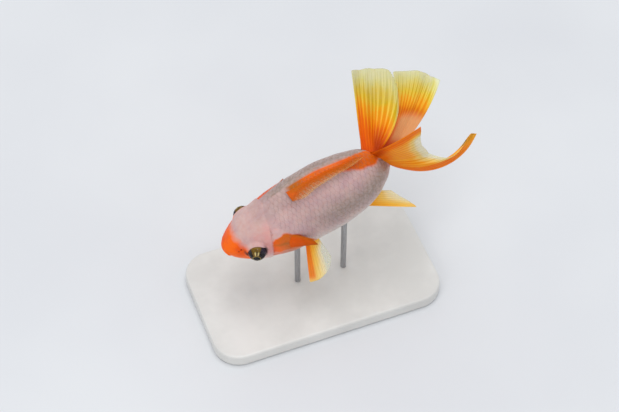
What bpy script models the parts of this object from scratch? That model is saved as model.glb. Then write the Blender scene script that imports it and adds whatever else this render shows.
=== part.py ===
# A young twin-tailed goldfish at life size, still, held over a flat base by two rods.
# The head points to -X, the fish's left side to -Y, and the origin is under the middle of the base.
import math

import bmesh
import bpy
import numpy as np
from mathutils import Vector

MM = 0.001
GAP = 0.3  # the thin cut between neighbouring pieces, in millimetres

# Driving sizes, in millimetres and degrees.
BODY_LENGTH = 61.0  # snout to tail root
PIVOT = 33.0  # the point of the body, behind the snout, that stands over the origin
HELD_AT = 47.0  # height of the pivot over the floor
NOSE_DOWN = 18.5
HEAD_TURN = 1.8  # the head looks a little to the fish's right
NECK = (12.0, 25.0)  # the body bends to that turn between these stations
HEAD_END = 15.9  # the head and gill covers end here
TRUNK_END = 46.0
TAIL_TURN = 27.0  # the tail root swings to the fish's right
TAIL_TURN_FROM = 41.0
TAIL_ROOT = 59.0  # the middle of the slanting end of the tail stalk
TAIL_SLANT = 2.4  # its top lies this far ahead of the middle, and its bottom as far behind
BULGE = 0.3  # the rear edge of the gill covers runs back this far on the flank
BACK_NARROWING = 0.07  # the back is a little narrower than the belly

# behind the snout, height of the back, depth of the belly, half width
STATIONS = (
    (0.0, 0.0, 0.0, 0.0),
    (1.6, 1.9, 4.2, 3.9),
    (4.5, 4.5, 7.1, 5.9),
    (9.0, 7.7, 10.3, 7.6),
    (15.0, 10.5, 13.4, 8.4),
    (22.0, 12.8, 15.6, 9.0),
    (30.0, 14.4, 15.7, 9.0),
    (38.0, 15.0, 15.2, 9.2),
    (46.0, 13.5, 13.1, 8.8),
    (52.0, 11.1, 11.1, 7.5),
    (57.0, 8.8, 9.2, 5.0),
    (62.5, 7.5, 7.5, 3.2),
)

EYE_AT = 10.0  # behind the snout
EYE_OUT = 7.7  # from the middle of the head to the middle of the eye
EYE_UP = 0.2
EYE_RADIUS = 3.1
ORBIT_SWELL = 0.8  # the flesh swells round the eyes by this much
ORBIT_SPREAD = 4.2

# Each fin is a fan of rays. A ray row gives its place along the root (0 to 1), its length, how far it
# swings outwards from straight back, how far it lifts, and how much both turn further on its way.
DORSAL_ROOT = ((27.0, 88.0), (49.5, 90.0))  # behind the snout, and round the body from its side
DORSAL_RAYS = (
    (0.0, 8.0, 82.0, 24.0, 0.0, -10.0),
    (0.12, 9.5, 74.0, 22.0, 0.0, -10.0),
    (0.3, 8.0, 67.0, 19.5, 0.0, -9.0),
    (0.5, 7.4, 60.0, 17.0, 0.0, -8.0),
    (0.8, 6.8, 46.0, 14.0, 0.0, -6.0),
    (1.0, 5.6, 30.0, 10.0, 0.0, 0.0),
)
PECTORAL_ROOT = ((18.8, 23.0), (16.4, -22.0))
PECTORAL_LEFT_RAYS = (
    (0.0, 12.0, 24.0, -32.0, 0.0, -10.0),
    (0.4, 13.0, 23.0, -26.0, 0.0, -6.0),
    (0.75, 12.5, 21.0, -17.0, 0.0, 0.0),
    (1.0, 10.0, 20.0, -8.0, 0.0, 0.0),
)
PECTORAL_RIGHT_RAYS = (
    (0.0, 11.5, 38.0, -16.0, 0.0, -8.0),
    (0.4, 12.5, 40.0, -20.0, 0.0, -6.0),
    (0.75, 11.5, 36.0, -18.0, 0.0, 0.0),
    (1.0, 9.0, 30.0, -12.0, 0.0, 0.0),
)
PELVIC_ROOT = ((24.5, -60.0), (28.5, -66.0))
PELVIC_RAYS = (
    (0.0, 14.2, 121.0, -41.0, 0.0, -6.0),
    (0.3, 14.5, 113.0, -42.5, 0.0, -6.0),
    (0.7, 13.0, 97.0, -48.0, 0.0, -4.0),
    (1.0, 9.5, 80.0, -56.0, 0.0, 0.0),
)
ANAL_ROOT = ((44.0, -88.0), (51.0, -88.0))
ANAL_RAYS = (
    (0.0, 21.3, 25.0, -26.0, 0.0, 4.0),
    (0.25, 18.3, 23.0, -28.0, 0.0, 4.0),
    (0.6, 13.0, 23.0, -27.0, 0.0, 4.0),
    (1.0, 7.2, 24.0, -22.0, 0.0, 0.0),
)
# The tail fins start on the flat end of the tail stalk: the root runs from its top to its bottom.
TAIL_ROOT_OUT = 1.7
TAIL_ROOT_UP = 6.3
TAIL_LEAD = 2.6  # the leading edge of the right tail fin starts this far up the stalk
TAIL_LEAD_SPAN = 0.24
TAIL_FORK = 0.5  # where each tail fin is parted into an upper and a lower lobe
TAIL_LEFT_RAYS = (
    (0.0, 25.9, 59.8, 34.4, 1.2, 9.3),
    (0.15, 21.0, 69.1, 31.3, -21.4, 3.1),
    (0.35, 15.4, 63.5, 6.8, -23.4, 10.3),
    (0.5, 14.8, 60.6, -16.1, -34.1, 11.2),
    (0.65, 21.0, 69.0, -23.9, -43.6, 18.9),
    (0.85, 30.0, 70.5, -26.6, -71.8, 43.6),
    (1.0, 33.4, 71.9, -36.7, -77.1, 62.3),
)
TAIL_RIGHT_RAYS = (
    (0.0, 27.6, 43.9, 26.3, -13.8, 22.6),
    (0.12, 27.9, 37.0, 30.7, 1.7, -15.5),
    (0.24, 28.0, 33.4, 7.6, 1.2, 25.0),
    (0.36, 29.0, 13.5, 7.7, 25.0, 12.6),
    (0.42, 26.1, -1.1, 17.4, 43.3, -19.5),
    (0.48, 19.9, -18.0, 22.6, 64.5, -36.9),
    (0.52, 31.1, 10.4, 1.8, 34.4, 7.4),
    (0.66, 33.9, 8.0, -9.2, 29.4, 20.2),
    (0.85, 35.8, 7.3, -8.1, 17.0, 11.7),
    (1.0, 36.2, -5.0, -7.5, 29.4, 5.0),
)

BASE_SIZE = (82.0, 46.0)
BASE_HEIGHT = 5.0
BASE_CORNER = 9.0
ROD_RADIUS = 1.0
ROD_PLACES = {"stand_rod_front": 22.0, "stand_rod_rear": 40.0}

AROUND = 32  # points round a body section

COLOURS = {
    "flesh": (0.62, 0.42, 0.40, 1.0),
    "orange": (0.85, 0.22, 0.02, 1.0),
    "amber": (0.86, 0.42, 0.08, 1.0),
    "eye": (0.10, 0.06, 0.03, 1.0),
    "base": (0.80, 0.79, 0.76, 1.0),
    "steel": (0.55, 0.56, 0.58, 1.0),
}


def clear_scene():
    for obj in list(bpy.data.objects):
        bpy.data.objects.remove(obj, do_unlink=True)


def material(name, roughness, metallic=0.0):
    made = bpy.data.materials.get(name) or bpy.data.materials.new(name)
    made.use_nodes = True
    shader = made.node_tree.nodes["Principled BSDF"]
    shader.inputs["Base Color"].default_value = COLOURS[name]
    shader.inputs["Roughness"].default_value = roughness
    shader.inputs["Metallic"].default_value = metallic
    return made


def smooth_through(places, values, at):
    """Monotone cubic curve through the values, read at one or more places."""
    places = np.asarray(places, float)
    values = np.asarray(values, float)
    steps = np.diff(places)
    slopes = np.diff(values) / steps
    tangents = np.empty(len(values))
    tangents[0] = slopes[0]
    tangents[-1] = slopes[-1]
    for i in range(1, len(slopes)):
        same_way = slopes[i - 1] * slopes[i] > 0
        tangents[i] = 2 / (1 / slopes[i - 1] + 1 / slopes[i]) if same_way else 0.0
    cell = np.clip(np.searchsorted(places, at, side="right") - 1, 0, len(steps) - 1)
    share = (np.asarray(at, float) - places[cell]) / steps[cell]
    rise = values[cell] * (1 + 2 * share) * (1 - share) ** 2
    rise += values[cell + 1] * (3 - 2 * share) * share**2
    rise += tangents[cell] * steps[cell] * share * (1 - share) ** 2
    rise += tangents[cell + 1] * steps[cell] * (share - 1) * share**2
    return rise


def heading(s):
    """Which way the body runs tailwards at a station, in radians, turning to the fish's right."""
    bent = np.clip((NECK[1] - s) / (NECK[1] - NECK[0]), 0, 1)
    head = -HEAD_TURN * bent * bent * (3 - 2 * bent)
    tail = TAIL_TURN * np.clip((s - TAIL_TURN_FROM) / (BODY_LENGTH - TAIL_TURN_FROM), 0, 1) ** 1.5
    return np.radians(head + tail)


AXIS_STATIONS = np.arange(-8.0, 70.0, 0.1)
AXIS_X = np.cumsum(np.cos(heading(AXIS_STATIONS))) * 0.1
AXIS_Y = np.cumsum(np.sin(heading(AXIS_STATIONS))) * 0.1
AXIS_X = AXIS_X - np.interp(PIVOT, AXIS_STATIONS, AXIS_X)
AXIS_Y = AXIS_Y - np.interp(PIVOT, AXIS_STATIONS, AXIS_Y)


def posed(x, y, z):
    """From the level fish to its place on the stand, in metres."""
    down = math.radians(NOSE_DOWN)
    return Vector(
        (
            (x * math.cos(down) - z * math.sin(down)) * MM,
            y * MM,
            (HELD_AT + x * math.sin(down) + z * math.cos(down)) * MM,
        )
    )


def beside(s, right, up):
    """A point given by its station, how far to the fish's right of the midline it lies, and its height."""
    turn = float(heading(s))
    x = float(np.interp(s, AXIS_STATIONS, AXIS_X)) - right * math.sin(turn)
    y = float(np.interp(s, AXIS_STATIONS, AXIS_Y)) + right * math.cos(turn)
    return Vector((x, y, up))


def section(s):
    """Height of the back, depth of the belly and half width. The square root rounds the snout."""
    places = [math.sqrt(row[0]) for row in STATIONS]
    at = math.sqrt(max(s, 0.0))
    return [float(smooth_through(places, [row[i] for row in STATIONS], at)) for i in (1, 2, 3)]


def on_body(s, angle, side=1, grow=0.0):
    """A point of the skin: angle 0 is the flank, 90 the back and -90 the belly. side 1 is the right."""
    back, belly, width = section(s)
    rise = math.sin(math.radians(angle))
    out = math.cos(math.radians(angle)) * (1 - BACK_NARROWING * rise)
    up = rise * ((back if rise > 0 else belly) + grow)
    away = ((s - EYE_AT) ** 2 + (up - EYE_UP) ** 2) / ORBIT_SPREAD**2
    width += ORBIT_SWELL * math.exp(-away)
    return beside(s, side * out * (width + grow), up)


def add_object(name, bm, finish):
    mesh = bpy.data.meshes.new(name)
    bmesh.ops.recalc_face_normals(bm, faces=bm.faces)
    bm.to_mesh(mesh)
    bm.free()
    mesh.shade_smooth()
    mesh.set_sharp_from_angle(angle=math.radians(40))
    obj = bpy.data.objects.new(name, mesh)
    bpy.context.scene.collection.objects.link(obj)
    mesh.materials.append(finish)
    return obj


def boolean(obj, cutter, operation="DIFFERENCE"):
    """Cuts with a helper that then stays hidden, and keeps the result as plain mesh."""
    modifier = obj.modifiers.new("cut", "BOOLEAN")
    modifier.operation = operation
    modifier.solver = "EXACT"
    modifier.object = cutter
    graph = bpy.context.evaluated_depsgraph_get()
    cut = bpy.data.meshes.new_from_object(obj.evaluated_get(graph))
    obj.modifiers.remove(modifier)
    obj.data = cut


def hide_cutter(obj):
    obj.hide_render = True
    obj.display_type = "WIRE"
    return obj


def loft(name, start, end, rings, finish, bulge=0.0, grow=0.0, slant=0.0):
    """The body between two stations. bulge moves the flanks of both ends tailwards, as a gill edge does,
    and slant moves the belly of the rear end tailwards and its back forwards."""
    bm = bmesh.new()
    angles = [360 * i / AROUND for i in range(AROUND)]
    loops = []
    for ring in range(rings + 1):
        share = ring / rings
        points = []
        for angle in angles:
            shift = bulge * math.cos(math.radians(angle)) ** 2
            first = start + (shift if start > 1 else 0)
            last = end + (shift if slant == 0 else -slant * math.sin(math.radians(angle)))
            s = first + (last - first) * (share**2 if start < 1 else share)
            side = 1 if math.cos(math.radians(angle)) >= 0 else -1
            around = math.degrees(math.asin(math.sin(math.radians(angle))))
            points.append(on_body(s, around, side, grow))
        loops.append([bm.verts.new(posed(*point)) for point in points])
    for low, high in zip(loops, loops[1:]):
        for i in range(AROUND):
            j = (i + 1) % AROUND
            bm.faces.new((low[i], low[j], high[j], high[i]))
    for loop in (loops[0], loops[-1]):
        middle = sum((vert.co for vert in loop), Vector()) / AROUND
        centre = bm.verts.new(middle)
        for i in range(AROUND):
            bm.faces.new((loop[i], loop[(i + 1) % AROUND], centre))
    return add_object(name, bm, finish)


def ball(name, centre, radius, finish, around=18, rings=10):
    bm = bmesh.new()
    bmesh.ops.create_uvsphere(bm, u_segments=around, v_segments=rings, radius=radius * MM)
    bmesh.ops.translate(bm, verts=bm.verts, vec=centre)
    return add_object(name, bm, finish)


def prism(name, outline, low, high, finish):
    """A prism between two levels of the outline function, which gives a point for a share round and a level."""
    count = 24
    bm = bmesh.new()
    rings = []
    for level in (low, high):
        rings.append([bm.verts.new(outline(i / count, level)) for i in range(count)])
    for i in range(count):
        j = (i + 1) % count
        bm.faces.new((rings[0][i], rings[0][j], rings[1][j], rings[1][i]))
    bm.faces.new(rings[0][::-1])
    bm.faces.new(rings[1])
    return add_object(name, bm, finish)


def gill_region(side, grow):
    """The oval of the cheek that the gill cover fills, from inside the head to beyond the skin."""

    def outline(share, level):
        turn = 2 * math.pi * share
        s = HEAD_END + (4.4 + grow) * math.cos(turn)
        up = -3.0 + (7.2 + grow) * math.sin(turn)
        return posed(*beside(s, side * level, up))

    return hide_cutter(prism("cutter", outline, 5.6 - grow, 14.0, material("flesh", 0.4)))


def jaw_region(grow):
    """The chin under the mouth slit, which slopes down to the corners of the mouth."""

    def outline(share, level):
        turn = 2 * math.pi * share
        s = 1.0 + (4.2 + grow) * math.cos(turn)
        right = (3.1 + grow) * math.sin(turn)
        up = level - 0.22 * s if level > -5 else level
        return posed(*beside(s, right, up))

    return hide_cutter(prism("cutter", outline, -14.0, -1.1 + grow, material("flesh", 0.4)))


def fin_basis(s, side):
    """Straight back, outwards and up at a station, in the level fish."""
    turn = float(heading(s))
    back = Vector((math.cos(turn), math.sin(turn), 0))
    out = Vector((-math.sin(turn), math.cos(turn), 0)) * side
    return back, out, Vector((0, 0, 1))


def fan(root, basis, rows, first, last, rays, steps):
    """Points along each ray of a fin, from the root outwards. root gives a point for a share along it."""
    back, out, up = basis
    shares = [row[0] for row in rows]
    grid = []
    for ray in range(rays):
        share = first + (last - first) * ray / (rays - 1)
        length, swing, lift, swing_turn, lift_turn = (
            float(smooth_through(shares, [row[i] for row in rows], share)) for i in range(1, 6)
        )
        point = root(share)
        line = [point.copy()]
        for step in range(steps):
            middle = (step + 0.5) / steps
            rise = math.radians(lift + lift_turn * middle)
            yaw = math.radians(swing + swing_turn * middle)
            level = back * math.cos(yaw) + out * math.sin(yaw)
            point = point + (level * math.cos(rise) + up * math.sin(rise)) * (length / steps)
            line.append(point.copy())
        grid.append(line)
    return grid


def fin_solid(name, grid, finish, root_thick=1.3, edge_thick=0.55):
    """Gives the fan its thickness, which thins from the root to the edge."""
    rays = len(grid)
    steps = len(grid[0])
    bm = bmesh.new()
    faces = {1: [], -1: []}
    for i in range(rays):
        for side in faces:
            faces[side].append([])
        for k in range(steps):
            along = grid[i][min(k + 1, steps - 1)] - grid[i][max(k - 1, 0)]
            across = grid[min(i + 1, rays - 1)][k] - grid[max(i - 1, 0)][k]
            normal = along.cross(across).normalized()
            half = (root_thick + (edge_thick - root_thick) * min(1, 1.6 * k / (steps - 1))) / 2
            for side in faces:
                faces[side][i].append(bm.verts.new(posed(*(grid[i][k] + normal * half * side))))
    for side, sheet in faces.items():
        for i in range(rays - 1):
            for k in range(steps - 1):
                corners = (sheet[i][k], sheet[i + 1][k], sheet[i + 1][k + 1], sheet[i][k + 1])
                bm.faces.new(corners if side > 0 else corners[::-1])
    rim = [(i, 0) for i in range(rays)]
    rim += [(rays - 1, k) for k in range(1, steps)]
    rim += [(i, steps - 1) for i in range(rays - 2, -1, -1)]
    rim += [(0, k) for k in range(steps - 2, 0, -1)]
    for (i, k), (j, m) in zip(rim, rim[1:] + rim[:1]):
        bm.faces.new((faces[1][i][k], faces[-1][i][k], faces[-1][j][m], faces[1][j][m]))
    return add_object(name, bm, finish)


def body_fin(name, ends, rows, side, body, finish, rays=12, steps=6, lean=1):
    """A fin that grows out of the skin along a line between two places on it."""

    def root(share):
        s = ends[0][0] + (ends[1][0] - ends[0][0]) * share
        angle = ends[0][1] + (ends[1][1] - ends[0][1]) * share
        return on_body(s, angle, side, grow=-1.2)

    middle = (ends[0][0] + ends[1][0]) / 2
    grid = fan(root, fin_basis(middle, side * lean), rows, 0, 1, rays, steps)
    obj = fin_solid(name, grid, finish)
    boolean(obj, body)
    return obj


def tail_root(share, side):
    """A place on the slanting end of the tail stalk, a thin cut behind it."""
    rise = 1 - 2 * share
    out = TAIL_ROOT_OUT * (1 - 0.35 * rise**2)
    near = max(0.0, 1 - share / TAIL_LEAD_SPAN) if side > 0 else 0.0
    lead = TAIL_LEAD * near * near * (3 - 2 * near)
    return beside(TAIL_ROOT + GAP + 0.35 - TAIL_SLANT * rise * 0.85 - lead, side * out, TAIL_ROOT_UP * rise)


def tail_fin(name, rows, side, first, last, body, finish):
    """One lobe of a tail fin, from the flat end of the tail stalk."""

    def root(share):
        return tail_root(share, side)

    grid = fan(root, fin_basis(BODY_LENGTH, side), rows, first, last, 11, 9)
    obj = fin_solid(name, grid, finish, root_thick=1.4)
    boolean(obj, body)
    return obj


def stand_base(finish):
    bm = bmesh.new()
    corners = []
    for i, (across, along) in enumerate(((1, 1), (-1, 1), (-1, -1), (1, -1))):
        centre = (
            across * (BASE_SIZE[0] / 2 - BASE_CORNER),
            along * (BASE_SIZE[1] / 2 - BASE_CORNER),
        )
        for step in range(9):
            turn = math.radians(90 * i + 90 * step / 8)
            x = centre[0] + BASE_CORNER * math.cos(turn)
            y = centre[1] + BASE_CORNER * math.sin(turn)
            corners.append(bm.verts.new((x * MM, y * MM, 0)))
    face = bm.faces.new(corners)
    raised = bmesh.ops.extrude_face_region(bm, geom=[face])
    top = [item for item in raised["geom"] if isinstance(item, bmesh.types.BMVert)]
    bmesh.ops.translate(bm, verts=top, vec=(0, 0, BASE_HEIGHT * MM))
    obj = add_object("stand_base", bm, finish)
    bevel = obj.modifiers.new("rounded rim", "BEVEL")
    bevel.width = 0.8 * MM
    bevel.segments = 2
    bevel.limit_method = "ANGLE"
    return obj


def rod(name, s, body, finish):
    """A round rod from the base up to the belly, cut to the belly's shape."""
    foot = posed(*beside(s, 0, -section(s)[1]))
    low = (BASE_HEIGHT + GAP) * MM
    high = foot.z + 2 * MM
    bm = bmesh.new()
    bmesh.ops.create_cone(
        bm,
        cap_ends=True,
        segments=16,
        radius1=ROD_RADIUS * MM,
        radius2=ROD_RADIUS * MM,
        depth=high - low,
    )
    bmesh.ops.translate(bm, verts=bm.verts, vec=(foot.x, foot.y, (low + high) / 2))
    obj = add_object(name, bm, finish)
    boolean(obj, body)
    return obj


def main():
    clear_scene()
    flesh = material("flesh", 0.4)
    orange = material("orange", 0.45)
    amber = material("amber", 0.45)
    dark = material("eye", 0.1)

    head = loft("head", 0.02, HEAD_END, 15, flesh, BULGE)
    loft("trunk", HEAD_END + GAP, TRUNK_END, 14, flesh, BULGE)
    loft("tail_stalk", TRUNK_END + GAP, TAIL_ROOT, 9, flesh, BULGE, slant=TAIL_SLANT)
    grown = hide_cutter(loft("cutter", 0.02, TAIL_ROOT, 40, flesh, grow=GAP, slant=TAIL_SLANT))

    for side, word in ((-1, "left"), (1, "right")):
        cover = head.copy()
        cover.data = head.data.copy()
        cover.name = "gill_cover_" + word
        bpy.context.scene.collection.objects.link(cover)
        boolean(cover, gill_region(side, 0.0), "INTERSECT")
    for side in (-1, 1):
        boolean(head, gill_region(side, GAP))
    jaw = head.copy()
    jaw.data = head.data.copy()
    jaw.name = "jaw"
    bpy.context.scene.collection.objects.link(jaw)
    boolean(jaw, jaw_region(0.0), "INTERSECT")
    boolean(head, jaw_region(GAP))

    for side, word in ((-1, "left"), (1, "right")):
        centre = posed(*beside(EYE_AT, side * EYE_OUT, EYE_UP))
        ball("eye_" + word, centre, EYE_RADIUS, dark)
        socket = hide_cutter(ball("cutter", centre, EYE_RADIUS + GAP, flesh, 20, 12))
        boolean(head, socket)
        boolean(bpy.data.objects["gill_cover_" + word], socket)

    body_fin("dorsal_fin", DORSAL_ROOT, DORSAL_RAYS, 1, grown, orange, rays=16, lean=-1)
    body_fin("anal_fin", ANAL_ROOT, ANAL_RAYS, -1, grown, amber)
    for side, word in ((-1, "left"), (1, "right")):
        pectoral = PECTORAL_LEFT_RAYS if side < 0 else PECTORAL_RIGHT_RAYS
        body_fin("pectoral_fin_" + word, PECTORAL_ROOT, pectoral, side, grown, orange)
        body_fin("pelvic_fin_" + word, PELVIC_ROOT, PELVIC_RAYS, side, grown, amber)
        rays = TAIL_LEFT_RAYS if side < 0 else TAIL_RIGHT_RAYS
        tail = "tail_fin_" + word
        tail_fin(tail + "_upper", rays, side, 0.0, TAIL_FORK - 0.02, grown, orange)
        tail_fin(tail + "_lower", rays, side, TAIL_FORK + 0.02, 1.0, grown, orange)

    stand_base(material("base", 0.35))
    steel = material("steel", 0.3, 1.0)
    for name, s in ROD_PLACES.items():
        rod(name, s, grown, steel)


main()
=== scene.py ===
import math

import bpy
import numpy as np
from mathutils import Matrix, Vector


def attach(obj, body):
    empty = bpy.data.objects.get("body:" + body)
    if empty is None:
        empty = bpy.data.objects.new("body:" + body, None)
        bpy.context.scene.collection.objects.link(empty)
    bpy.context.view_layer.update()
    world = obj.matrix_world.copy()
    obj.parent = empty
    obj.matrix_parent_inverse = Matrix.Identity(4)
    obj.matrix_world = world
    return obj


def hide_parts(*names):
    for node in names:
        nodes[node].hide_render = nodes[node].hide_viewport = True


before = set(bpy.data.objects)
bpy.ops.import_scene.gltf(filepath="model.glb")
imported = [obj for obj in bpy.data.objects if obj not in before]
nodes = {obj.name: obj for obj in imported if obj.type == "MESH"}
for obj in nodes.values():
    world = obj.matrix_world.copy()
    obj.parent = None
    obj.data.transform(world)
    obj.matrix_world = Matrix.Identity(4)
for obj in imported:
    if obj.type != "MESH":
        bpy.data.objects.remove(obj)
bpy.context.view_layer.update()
random = np.random.default_rng(7)

# the fish's own sizes, in millimetres and degrees, the same as in the solids
fish = {
    "length": 61.0,
    "pivot": 33.0,
    "heldAt": 47.0,
    "noseDown": 18.5,
    "headTurn": 1.8,
    "neck": (12.0, 25.0),
    "tailTurn": 27.0,
    "tailTurnFrom": 41.0,
    "trunkEnd": 46.0,
    "tailRoot": 59.0,
    "tailSlant": 2.4,
    # the last quarter of the stalk rounds off: from this share of it, by this much inwards and down
    "roundFrom": 0.74,
    "roundIn": 0.52,
    "roundDown": 0.1,
    "backNarrowing": 0.07,
    # behind the snout, height of the back, depth of the belly, half width
    "stations": np.array((
        (0, 0, 0, 0),
        (1.6, 1.9, 4.2, 3.9),
        (4.5, 4.5, 7.1, 5.9),
        (9, 7.7, 10.3, 7.6),
        (15, 10.5, 13.4, 8.4),
        (22, 12.8, 15.6, 9),
        (30, 14.4, 15.7, 9),
        (38, 15, 15.2, 9.2),
        (46, 13.5, 13.1, 8.8),
        (52, 11.1, 11.1, 7.5),
        (57, 8.8, 9.2, 5),
        (62.5, 7.5, 7.5, 3.2),
    )),
}
eye = {"at": 10.0, "out": 7.7, "up": 0.2, "radius": 3.1, "swell": 0.8, "spread": 4.2}


def smoothThrough(places, values, at):
    # monotone cubic curve through the values
    places = np.asarray(places, float)
    values = np.asarray(values, float)
    at = np.clip(np.asarray(at, float), places[0], places[-1])
    steps = np.diff(places)
    slopes = np.diff(values) / steps
    tangents = np.zeros(len(values))
    tangents[0] = slopes[0]
    tangents[-1] = slopes[-1]
    for i in range(1, len(slopes)):
        if slopes[i - 1] * slopes[i] > 0:
            tangents[i] = 2 / (1 / slopes[i - 1] + 1 / slopes[i])
    cell = np.clip(np.searchsorted(places, at, side="right") - 1, 0, len(steps) - 1)
    share = (at - places[cell]) / steps[cell]
    rise = values[cell] * (1 + 2 * share) * (1 - share) ** 2
    rise += values[cell + 1] * (3 - 2 * share) * share**2
    rise += tangents[cell] * steps[cell] * share * (1 - share) ** 2
    rise += tangents[cell + 1] * steps[cell] * (share - 1) * share**2
    return rise


def ease(low, high, value):
    # 0 below low, 1 above high, smooth between; low may be the greater one
    share = np.clip((value - low) / (high - low), 0, 1)
    return share * share * (3 - 2 * share)


def bell(distance, width):
    return np.exp(-((distance / width) ** 2))


def heading(s):
    # which way the body points at a station: the head turns one way and the tail the other
    front, rear = fish["neck"]
    swing = np.clip((s - fish["tailTurnFrom"]) / (fish["length"] - fish["tailTurnFrom"]), 0, 1)
    return np.radians(fish["tailTurn"] * swing**1.5 - fish["headTurn"] * ease(rear, front, s))


axisStep = 0.1
axisAt = np.arange(-8, 70, axisStep)
axisX = np.cumsum(np.cos(heading(axisAt))) * axisStep
axisY = np.cumsum(np.sin(heading(axisAt))) * axisStep
axisX = axisX - np.interp(fish["pivot"], axisAt, axisX)
axisY = axisY - np.interp(fish["pivot"], axisAt, axisY)


def posed(points):
    # from the level fish in millimetres to its place on the stand in metres
    down = math.radians(fish["noseDown"])
    x, y, z = np.moveaxis(np.asarray(points, float), -1, 0)
    placed = (
        x * math.cos(down) - z * math.sin(down),
        y,
        fish["heldAt"] + x * math.sin(down) + z * math.cos(down),
    )
    return np.stack(placed, -1) * 0.001


def beside(s, right, up):
    # a point of the level fish, from its station along the bent axis and its place beside that
    turn = heading(s)
    x = np.interp(s, axisAt, axisX) - right * np.sin(turn)
    y = np.interp(s, axisAt, axisY) + right * np.cos(turn)
    return np.stack(np.broadcast_arrays(x, y, up), -1)


def axesAt(s, side):
    # backwards, outwards on one side, and up
    turn = float(heading(np.array(s)))
    back = np.array((math.cos(turn), math.sin(turn), 0))
    out = np.array((-math.sin(turn), math.cos(turn), 0)) * side
    return back, out, np.array((0, 0, 1))


def section(s, angle, grow=0.0):
    # how far out and up the skin lies; angle 0 is the flank, 90 the back, -90 the belly
    rows = fish["stations"]
    back, belly, width = (
        smoothThrough(np.sqrt(rows[:, 0]), rows[:, i], np.sqrt(np.maximum(s, 0))) for i in (1, 2, 3)
    )
    rise = np.sin(np.radians(angle))
    up = rise * (np.where(rise > 0, back, belly) + grow)
    around = ((s - eye["at"]) ** 2 + (up - eye["up"]) ** 2) / eye["spread"] ** 2
    width = width + eye["swell"] * np.exp(-around) + grow
    out = np.cos(np.radians(angle)) * (1 - fish["backNarrowing"] * rise) * width
    return out, up


def onBody(s, angle, side=1, grow=0.0):
    out, up = section(s, angle, grow)
    return beside(s, side * out, up)


def onStalk(s, angle):
    # station, out and up with the slanted and rounded rear end of the stalk
    share = np.clip((s - fish["trunkEnd"]) / (fish["tailRoot"] - fish["trunkEnd"]), 0, 1)
    rounding = np.clip((share - fish["roundFrom"]) / (1 - fish["roundFrom"]), 0, 1)
    s = s - fish["tailSlant"] * share * np.sin(np.radians(angle))
    out, up = section(s, angle)
    return s, out * (1 - fish["roundIn"] * rounding**2), up * (1 - fish["roundDown"] * rounding**2)


def gillEdge(angle):
    # station of the rear edge of the gill cover, which runs on as a crease over the nape
    places = (-90, -75, -50, -37, -25, 0, 16, 40, 61, 90)
    stations = (9.2, 10.8, 12.4, 13.1, 13.7, 15, 15.9, 16.9, 17.3, 18.5)
    return smoothThrough(places, stations, angle)


def wobble(s, angle, seed):
    # a smooth unevenness of about -1 to 1, for the edges of markings
    a = np.radians(angle)
    waves = np.sin(1.9 * s + 3 * a + seed) + np.sin(0.9 * s - 9 * a + 2 * seed)
    return (waves + 0.6 * np.sin(4.1 * s + 17 * a + 3 * seed)) / 2.6


marks = {
    # how far the orange of the snout reaches, from belly to back
    "capAngles": (-90, -70, -45, -20, 0, 14, 32, 51, 62, 90),
    "capStations": (5, 6, 7.8, 8.6, 7.6, 6.9, 5.6, 4.6, 4.1, 3.8),
    "capSoft": 3.2,
    # orange shoulders: station, and their upper edge on each side
    "shoulder": (15, 17, 20, 24.2, 28.1, 30),
    "leftTop": (8, 12, 14, -2, -36, -60),
    "rightTop": (52, 63, 66, 60, 40, 0),
    "shoulderLow": -52,
    # brown streak along the left shoulder: station and angle
    "streak": ((14, 19, 23), (3, -6, -17)),
    "underStreak": 19,
    # the orange ridge of the back: station, and how far down each side it reaches
    "leftReach": ((20, 30, 40, 46, 50, 54, 58, 61), (10, 14, 16, 22, 33, 44, 62, 74)),
    "rightReach": ((20, 54, 57, 61), (-6, -2, 8, 30)),
    "ridgeFrom": 27.6,
    # pink patches: strength, station and length, angle and height
    "blushes": ((0.4, 12.5, 2.2, 34, 16), (0.1, 16.6, 1.5, 50, 14)),
}


def paintedShadeMask(s, angle, side):
    # painted shade, in grey: along the flank, at the gill cover's rear edge, over the far side of the back,
    # on the crown and on the nape
    paintedShade = 0.95 * bell(angle - 2, 24) * ease(22, 42, s) + 0.25 * ease(46, 57, s)
    edge = 0.55 * bell(s - 14.4, 1.3) * bell(angle - 4, 14)
    reach = np.where(side > 0, ease(30, 55, angle), ease(80, 87, angle) * ease(20, 30, s))
    back = (0.75 + 0.25 * ease(60, 85, angle)) * reach * ease(12, 26, s)
    crown = 0.22 * ease(17.5, 14, s) * ease(-20, 20, angle)
    nape = 0.42 * ease(11, 15, s) * ease(42, 62, angle)
    return np.maximum.reduce((paintedShade * ease(-85, -50, angle), edge, back, crown, nape))


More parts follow.
